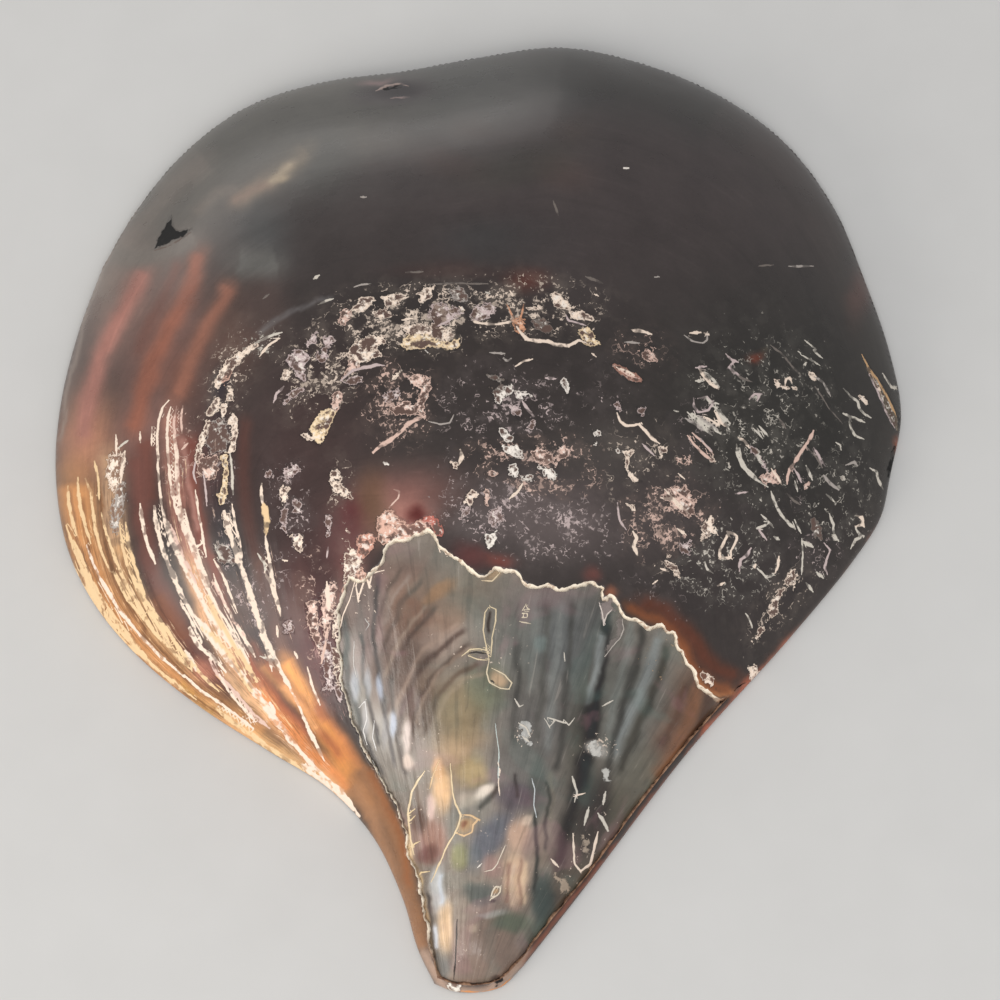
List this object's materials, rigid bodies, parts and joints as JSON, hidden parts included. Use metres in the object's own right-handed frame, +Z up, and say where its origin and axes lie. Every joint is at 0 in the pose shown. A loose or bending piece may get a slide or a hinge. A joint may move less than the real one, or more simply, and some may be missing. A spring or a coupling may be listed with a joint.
{
  "type": "pen shell valve",
  "caption": "Polished valve of a large pen shell: a hollow fan-shaped dome with a narrow beak, dark outside with nacre showing at the beak end.",
  "frame": {"origin": "middle of the footprint, in the plane that the ground margin rests on", "axes": "+Z up out of the convex outside, +Y from the beak to the broad posterior end, +X to the straight hinge margin, -X to the bulging ventral margin"},
  "size_m": [0.2127, 0.2501, 0.047],
  "materials": {
    "polished_shell": "polished translucent prismatic shell, charcoal to purple-brown, orange where thin, with chalky cream flaked patches",
    "nacre": "worn satin nacre, grey-green and silver with radial ribs, tan where layers have peeled"
  },
  "bodies": {
    "root": {"valve": "polished_shell"}
  },
  "joints": []
}
